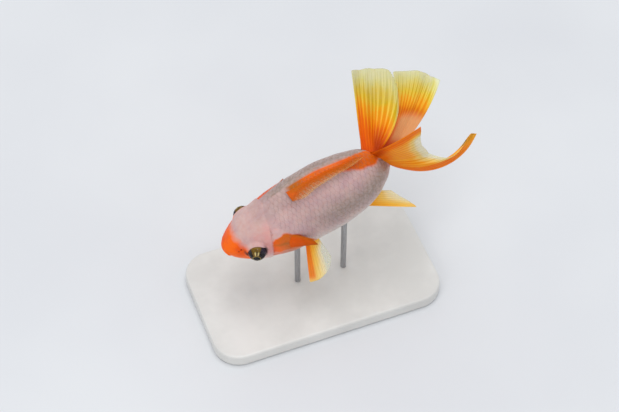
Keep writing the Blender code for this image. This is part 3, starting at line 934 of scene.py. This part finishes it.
finShapes = {
    # share of the root, length, swing outwards, lift, and how much both turn on the way
    "dorsal": (
        (0, 8, 82, 24, 0, -10),
        (0.12, 9.5, 74, 22, 0, -10),
        (0.3, 8, 67, 19.5, 0, -9),
        (0.5, 7.4, 60, 17, 0, -8),
        (0.8, 6.8, 46, 14, 0, -6),
        (1, 5.6, 30, 10, 0, 0),
    ),
    "pectoralLeft": (
        (0, 12, 24, -32, 0, -10),
        (0.4, 13, 23, -26, 0, -6),
        (0.75, 12.5, 21, -17, 0, 0),
        (1, 10, 20, -8, 0, 0),
    ),
    "pectoralRight": (
        (0, 11.5, 38, -16, 0, -8),
        (0.4, 12.5, 40, -20, 0, -6),
        (0.75, 11.5, 36, -18, 0, 0),
        (1, 9, 30, -12, 0, 0),
    ),
    "pelvic": (
        (0, 14.2, 121, -41, 0, -6),
        (0.3, 14.5, 113, -42.5, 0, -6),
        (0.7, 13, 97, -48, 0, -4),
        (1, 9.5, 80, -56, 0, 0),
    ),
    "anal": (
        (0, 21.3, 25, -26, 0, 4),
        (0.25, 18.3, 23, -28, 0, 4),
        (0.6, 13, 23, -27, 0, 4),
        (1, 7.2, 24, -22, 0, 0),
    ),
    "tailLeft": (
        (0, 25.9, 59.8, 34.4, 1.2, 9.3),
        (0.15, 21, 69.1, 31.3, -21.4, 3.1),
        (0.35, 15.4, 63.5, 6.8, -23.4, 10.3),
        (0.5, 14.8, 60.6, -16.1, -34.1, 11.2),
        (0.65, 21, 69, -23.9, -43.6, 18.9),
        (0.85, 30, 70.5, -26.6, -71.8, 43.6),
        (1, 33.4, 71.9, -36.7, -77.1, 62.3),
    ),
    "tailRight": (
        (0, 27.6, 43.9, 26.3, -13.8, 22.6),
        (0.12, 27.9, 37, 30.7, 1.7, -15.5),
        (0.24, 28, 33.4, 7.6, 1.2, 25),
        (0.36, 29, 13.5, 7.7, 25, 12.6),
        (0.42, 26.1, -1.1, 17.4, 43.3, -19.5),
        (0.48, 19.9, -18, 22.6, 64.5, -36.9),
        (0.52, 31.1, 10.4, 1.8, 34.4, 7.4),
        (0.66, 33.9, 8, -9.2, 29.4, 20.2),
        (0.85, 35.8, 7.3, -8.1, 17, 11.7),
        (1, 36.2, -5, -7.5, 29.4, 5),
    ),
}
tail = {
    "rootOut": 1.7,
    "rootUp": 6.3,
    "flatter": 0.35,  # how much nearer together the two fins start above and below
    "slant": 0.85,
    "cut": 0.65,
    # the upper root of the right fin runs forward over the stalk
    "lead": 2.6,
    "leadSpan": 0.24,
    "fork": 0.5,  # share at which a fin parts into its lobes
    "rightGap": 0.02,
    "leftGap": 0.006,
    "rays": 11,  # of each lobe
}

finBuild = {
    "perRay": 8,
    "bodySteps": 44,
    "tailSteps": 60,
    # how far fins start inside the flesh
    "bodyInside": 1.2,
    "tailInside": (1.6, 0.8),
    "edgeThick": 0.12,
    "thinFrom": 0.24,
    "ridge": 0.3,
    "drawIn": 0.009,
}


def tailRoot(side, share):
    rise = 1 - 2 * share
    out = tail["rootOut"] * (1 - tail["flatter"] * rise**2)
    s = fish["tailRoot"] + tail["cut"] - fish["tailSlant"] * rise * tail["slant"]
    if side > 0:
        s = s - tail["lead"] * ease(tail["leadSpan"], 0, share)
    return beside(s, side * out, tail["rootUp"] * rise)


def fan(roots, axes, shape, shares, steps, inside=()):
    # points along each ray: some inside the flesh, its root, and on from there
    back, out, up = axes
    at, *rows = zip(*finShapes[shape])
    length, swing, lift, swingTurn, liftTurn = (smoothThrough(at, row, shares) for row in rows)
    middle = (np.arange(steps) + 0.5) / steps
    rise = np.radians(lift[:, None] + liftTurn[:, None] * middle)
    yaw = np.radians(swing[:, None] + swingTurn[:, None] * middle)
    level = np.cos(yaw)[..., None] * back + np.sin(yaw)[..., None] * out
    way = level * np.cos(rise)[..., None] + up * np.sin(rise)[..., None]
    start = roots[:, None]
    moved = np.cumsum(way * (length / steps)[:, None, None], axis=1)
    before = [start - way[:, :1] * depth for depth in inside]
    return np.concatenate((*before, start, start + moved), axis=1)


def branching(phase, along):
    # how much a place lies on a ray, 0 to 1; rays part in two, and later in two again
    spreadOne = 0.24 * ease(0.42, 1, along)
    spreadTwo = 0.115 * ease(0.7, 1.05, along)
    distance = np.abs(np.abs(phase % 1 - 0.5) - spreadOne)
    return bell(np.abs(distance - spreadTwo), 0.17 - 0.09 * along)


def finMaterial(name, look):
    made = Nodes(name)
    ray = made.value("ray")
    cloud = made.noise(260)
    fine = made.noise(1800)
    drift = made.times(made.math("SUBTRACT", cloud, 0.5), 0.2)
    place = made.plus(made.value("fade"), drift, clamp=True)
    colour = made.ramp(place, look["colours"])
    rayed = made.ramp(place, look["rayColours"])
    colour = made.mix(made.times(ray, look["rayShow"]), colour, rayed)
    colour = made.mix(made.value("peach"), colour, srgb(226, 160, 104))
    colour = made.mix(made.times(made.value("shadow"), 0.85), colour, look["dark"])
    solid = made.ramp(place, look["solid"])
    solid = made.plus(solid, made.times(ray, look["raySolid"]), clamp=True)
    solid = made.math("MAXIMUM", solid, made.value("firm"))
    joints = made.math("SINE", made.times(made.value("along"), 150))
    joints = made.times(joints, made.times(ray, 0.3))
    made.bump(made.plus(made.times(fine, 0.5), joints), 0.2, 0.00005)
    made.flesh(0.0005, 0.1, 0.1, 0.04, 0.2, blue=0.3)
    made.set(Alpha=solid)
    return made.finish(colour, fine, 0.38, 0.52)


def stops(*rows):
    # share of the fade and the colour there
    return tuple((place, srgb(*colour)) for place, *colour in rows)


hotOrange = (226, 86, 0)
clearTint = (232, 234, 196)

tailFade = {
    "rayShow": 0.95,
    "solid": ((0, 1), (0.5, 0.97), (0.68, 0.78), (0.84, 0.46), (1, 0.24)),
    "raySolid": 0.12,
    "dark": srgb(176, 58, 0),
}

finLooks = {
    "warm": {
        **tailFade,
        "colours": stops(
            (0, *hotOrange), (0.28, 236, 104, 0), (0.46, 236, 146, 4),
            (0.62, 214, 178, 22), (0.8, 212, 202, 92), (1, *clearTint),
        ),
        "rayColours": stops(
            (0, *hotOrange), (0.2, 240, 116, 0), (0.36, 250, 174, 24),
            (0.56, 240, 212, 84), (0.8, 232, 224, 150), (1, *clearTint),
        ),
    },
    "left": {
        **tailFade,
        "colours": stops(
            (0, *hotOrange), (0.28, 238, 110, 0), (0.46, 244, 148, 16),
            (0.66, 232, 186, 84), (0.84, 228, 214, 160), (1, *clearTint),
        ),
        "rayColours": stops(
            (0, *hotOrange), (0.22, 246, 128, 0), (0.4, 254, 178, 48),
            (0.62, 250, 214, 124), (0.82, 240, 230, 190), (1, *clearTint),
        ),
    },
    "deep": {
        "colours": stops(
            (0, 240, 98, 0), (0.15, 222, 88, 0), (0.5, 216, 98, 4), (0.75, 222, 130, 40), (1, 232, 180, 120),
        ),
        "rayColours": stops((0, *hotOrange), (0.4, 198, 82, 0), (0.8, 196, 96, 14), (1, 220, 150, 60)),
        "rayShow": 0.85,
        "solid": ((0, 1), (0.35, 0.97), (0.5, 0.7), (0.75, 0.32), (1, 0.12)),
        "raySolid": 0.3,
        "dark": srgb(190, 100, 12),
    },
    # the amber fins: their own orange, painted brighter to stand for light shining through them
    "soft": {
        "colours": stops(
            (0, 255, 140, 0), (0.25, 255, 166, 20), (0.5, 255, 206, 96),
            (0.75, 255, 228, 168), (1, *clearTint),
        ),
        "rayColours": stops((0, 240, 136, 0), (0.35, 255, 194, 64), (0.7, 255, 236, 168), (1, *clearTint)),
        "rayShow": 0.8,
        "solid": ((0, 1), (0.35, 0.92), (0.6, 0.72), (0.82, 0.4), (1, 0.15)),
        "raySolid": 0.15,
        "dark": srgb(248, 118, 0),
    },
}


def makeFin(name, points, rays, finish, look, wave, rootThick=0.9):
    # points is a fine grid over the fin, (rays across, steps along, 3)
    build = finBuild
    across, steps = points.shape[:2]
    share = np.linspace(0, 1, across)[:, None]
    step = np.linalg.norm(np.diff(points, axis=1), axis=-1)
    run = np.concatenate((np.zeros((across, 1)), np.cumsum(step, axis=1)), axis=1)
    along = run / run[:, -1:]
    phase = share * rays
    ray = np.maximum(branching(phase, along), bell(np.minimum(share, 1 - share) * rays, 0.25))
    # the skin between the rays draws in at the free edge
    notch = (1 - branching(phase, np.ones_like(along))) * ease(0.8, 1, along)
    pull = build["drawIn"] * notch * (0.8 + 0.5 * np.sin(phase * 2.4 + rays))
    points = points + (points[:, :1] - points) * pull[..., None]
    normal = gridNormals(points, closed=False)
    ripple = wave * np.sin(share * 9 + along * 4) * ease(0.1, 0.9, along)
    points = points + normal * ripple[..., None]
    film = build["edgeThick"] + (rootThick - build["edgeThick"]) * ease(build["thinFrom"], 0, along)
    ridge = build["ridge"] * (1 - 0.75 * along) * ray
    half = normal * ((film + ridge) / 2)[..., None]

    def doubled(grid):
        # for both sides of the fin
        return np.tile(np.broadcast_to(grid, along.shape).ravel(), 2)

    shown = look(share, along)
    values = {"ray": doubled(ray), "along": doubled(along)}
    for key in ("fade", "shadow", "peach", "firm"):
        values[key] = doubled(np.clip(shown.get(key, 0), 0, 1))
    faces = sheetFaces(across, steps)[:, ::-1]
    piece = newPiece(name + "_rayed", posed(np.stack((points + half, points - half))), faces, finish, values)
    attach(piece, "root")
    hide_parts(name)
    print(name + ":", len(faces), "faces")


# looks of each fin; share runs from its first ray to its last, along from root to edge

def dorsalLook(share, along):
    return {
        "fade": along * (1.04 - 0.1 * share) - 0.35 * bell(share, 0.08),
        "shadow": 0.9 * bell(share - 0.12, 0.15) * ease(0.62, 0.35, along),
    }


def analLook(share, along):
    return {"fade": 0.18 + along * (0.3 + 0.38 * ease(0.05, 0.6, share))}


def pectoralLeftLook(share, along):
    return {"fade": 0.6 * along**2, "shadow": 0.85 * bell(share, 0.13)}


def pectoralRightLook(share, along):
    return {"fade": 0.7 * along**1.6}


def pelvicLook(share, along):
    return {
        "fade": 0.25 + along * 0.3 + 0.6 * ease(0.3, 0.95, share) * ease(0, 0.5, along),
        "shadow": ease(0.36, 0.2, share) * ease(1.02, 0.85, along),
    }


def rightUpperLook(share, along):
    fade = 0.87 * along ** (1.15 - 0.35 * ease(0.12, 0.6, share))
    return {
        "fade": fade - 0.12 * bell(share - 0.1, 0.1) * ease(0.9, 0.6, along),
        "shadow": 0.95 * ease(0.44, 0.14, along) * ease(0.3, 0.66, share),
        "firm": 0.34,
    }


def rightLowerLook(share, along):
    peach = ease(0.16, 0.3, along) * ease(0.56, 0.44, along - 0.09 * share)
    return {
        "fade": 0.9 * along**1.7 - 0.02 + 0.1 * bell(1 - share, 0.09) * ease(0.6, 0.9, along),
        "peach": peach * ease(0.1, 0.4, share),
        "shadow": 0.95 * ease(0.34, 0.14, along) + 0.4 * bell(along - 0.56 - 0.06 * share, 0.05),
        "firm": 0.3 + 0.7 * ease(0.82, 0.92, share),
    }


# the left upper lobe gets less light, so its fade starts higher: its own orange, painted lighter
def leftUpperLook(share, along):
    fade = 0.2 + 0.2 * ease(0.02, 0.5, along) * ease(0.05, 0.34, share)
    return {
        "fade": fade + 0.46 * ease(0.6, 1, along) * ease(0.05, 0.4, share),
        "shadow": 0.9 * ease(0.4, 0.12, along) * ease(0.6, 0.2, share),
        "firm": 0.25 + 0.7 * bell(share, 0.14),
    }


def leftLowerLook(share, along):
    fade = 0.27 - 0.04 * ease(0.5, 1, share) + 0.1 * ease(0.8, 1, along) + 0.1 * along**3
    fade = fade + 0.1 * ease(0.02, 0.4, along) * ease(0.9, 0.3, share)
    return {
        "fade": fade + 0.36 * ease(0.5, 1, along) * ease(0.5, 0.05, share),
        "firm": 0.25 + 0.75 * ease(0.1, 0.32, share),
    }


def bodyFin(name, rootName, shape, side, rays, finish, slotName, look, wave, lean=1):
    first, last = finRoots[rootName]
    shares = np.linspace(0, 1, rays * finBuild["perRay"] + 1)
    roots = rootPoints(rootName, side, shares, -finBuild["bodyInside"])
    axes = axesAt((first[0] + last[0]) / 2, side * lean)
    points = fan(roots, axes, shape, shares, finBuild["bodySteps"])
    makeFin(name, points, rays, finish, look, wave)


def tailLobe(name, shape, side, first, last, finish, look, wave):
    shares = np.linspace(first, last, tail["rays"] * finBuild["perRay"] + 1)
    axes = axesAt(fish["length"], side)
    points = fan(tailRoot(side, shares), axes, shape, shares, finBuild["tailSteps"], finBuild["tailInside"])
    makeFin(name, points, tail["rays"], finish, look, wave, rootThick=1.1)


warmFin = finMaterial("orange fin", finLooks["warm"])
deepFin = finMaterial("deep orange fin", finLooks["deep"])
softFin = finMaterial("amber fin", finLooks["soft"])
leftFin = finMaterial("left tail fin", finLooks["left"])

orange = (deepFin, "fin_orange")
amber = (softFin, "fin_amber")
# the dorsal fin is folded over to the left
bodyFin("dorsal_fin", "dorsal", "dorsal", 1, 18, *orange, dorsalLook, 0.15, lean=-1)
bodyFin("anal_fin", "anal", "anal", -1, 8, *amber, analLook, 0.15)
bodyFin("pectoral_fin_left", "pectoral", "pectoralLeft", -1, 14, *orange, pectoralLeftLook, 0.1)
bodyFin("pectoral_fin_right", "pectoral", "pectoralRight", 1, 14, *orange, pectoralRightLook, 0.1)
for side, word in ((-1, "left"), (1, "right")):
    bodyFin("pelvic_fin_" + word, "pelvic", "pelvic", side, 9, *amber, pelvicLook, 0.15)

for word, shape, side, gap, finish, wave, upper, lower in (
    ("right", "tailRight", 1, tail["rightGap"], warmFin, 0.2, rightUpperLook, rightLowerLook),
    ("left", "tailLeft", -1, tail["leftGap"], leftFin, 0.1, leftUpperLook, leftLowerLook),
):
    name = "tail_fin_" + word
    tailLobe(name + "_upper", shape, side, 0, tail["fork"] - gap, finish, upper, wave)
    tailLobe(name + "_lower", shape, side, tail["fork"] + gap, 1, finish, lower, wave)
print("fins")


# stand

standLook = {
    "plate": srgb(226, 224, 219),
    "plateShade": srgb(212, 210, 205),
    "steel": srgb(186, 187, 190),
    "steelShade": srgb(150, 151, 155),
    "grain": (9000, 9000, 260),  # runs up the rods
}


def plateMaterial():
    made = Nodes("satin plate")
    cloud = made.noise(45, 4)
    grain = made.noise(2200)
    colour = made.mix(made.ramp(cloud, ((0.3, 0), (0.7, 1))), standLook["plate"], standLook["plateShade"])
    made.set(Specular_IOR_Level=0.4, Coat_Weight=0.15, Coat_Roughness=0.25)
    made.bump(grain, 0.06, 0.00004)
    return made.finish(colour, grain, 0.34, 0.46)


def steelMaterial():
    made = Nodes("brushed steel")
    lines = made.noise(1, vector=made.coordinates(standLook["grain"]))
    colour = made.mix(made.ramp(lines, ((0.3, 0), (0.7, 1))), standLook["steel"], standLook["steelShade"])
    made.set(Metallic=1)
    made.bump(lines, 0.12, 0.00003)
    return made.finish(colour, lines, 0.24, 0.4)


plateFinish = plateMaterial()
steelFinish = steelMaterial()
for name, finish in (
    ("stand_base", plateFinish),
    ("stand_rod_front", steelFinish),
    ("stand_rod_rear", steelFinish),
):
    nodes[name].data.materials.clear()
    nodes[name].data.materials.append(finish)
print("stand")


# floor, light and camera

roomLook = {
    "floor": srgb(226, 227, 228),
    "floorShade": srgb(220, 221, 223),
    "half": 3,
    "points": 25,
    "below": 0.0001,
    "sky": (0.92, 0.95, 1, 1),
    "skyStrength": 0.78,
}


def floorMaterial():
    made = Nodes("pale floor")
    cloud = made.noise(9, 3, 0.5)
    colour = made.mix(made.ramp(cloud, ((0.3, 0), (0.7, 1))), roomLook["floor"], roomLook["floorShade"])
    made.set(Specular_IOR_Level=0.2)
    return made.finish(colour, cloud, 0.55, 0.7)


lines = np.linspace(-roomLook["half"], roomLook["half"], roomLook["points"])
floorPoints = np.stack(np.meshgrid(lines, lines, [-roomLook["below"]], indexing="ij"), -1)
floor = newPiece("floor", floorPoints, gridFaces(roomLook["points"], roomLook["points"]), floorMaterial())

world = bpy.data.worlds.new("studio")
bpy.context.scene.world = world
world.use_nodes = True
sky = world.node_tree.nodes["Background"]
sky.inputs["Color"].default_value = roomLook["sky"]
sky.inputs["Strength"].default_value = roomLook["skyStrength"]


def softLight(name, place, aim, size, power, colour=(1, 1, 1)):
    lamp = bpy.data.lights.new(name, "AREA")
    lamp.shape = "DISK"
    lamp.size = size
    lamp.energy = power
    lamp.color = colour
    obj = bpy.data.objects.new(name, lamp)
    obj.location = place
    obj.rotation_euler = (Vector(aim) - Vector(place)).to_track_quat("-Z", "Y").to_euler()
    bpy.context.scene.collection.objects.link(obj)


softLight("overhead", (-0.02, -0.02, 0.95), (0, 0, 0.04), 0.6, 2.9)
softLight("window", (-0.7, -0.5, 0.6), (0, 0, 0.04), 0.5, 0.8, (1, 0.98, 0.95))

cameraLook = {
    "azimuth": -21,
    "elevation": 52.5,
    "distance": 0.56,
    "target": (-0.0014, -0.00077, 0.04606),
    "lens": 100,
    "sensor": 36,
}
turn = math.radians(cameraLook["azimuth"])
tilt = math.radians(cameraLook["elevation"])
away = Vector((math.sin(turn) * math.cos(tilt), -math.cos(turn) * math.cos(tilt), math.sin(tilt)))
camera = bpy.data.objects.new("camera", bpy.data.cameras.new("camera"))
camera.data.lens = cameraLook["lens"]
camera.data.sensor_width = cameraLook["sensor"]
camera.location = Vector(cameraLook["target"]) + away * cameraLook["distance"]
camera.rotation_euler = (-away).to_track_quat("-Z", "Y").to_euler()
bpy.context.scene.collection.objects.link(camera)
bpy.context.scene.camera = camera
bpy.context.scene.view_settings.view_transform = "Standard"

print("scene ready")
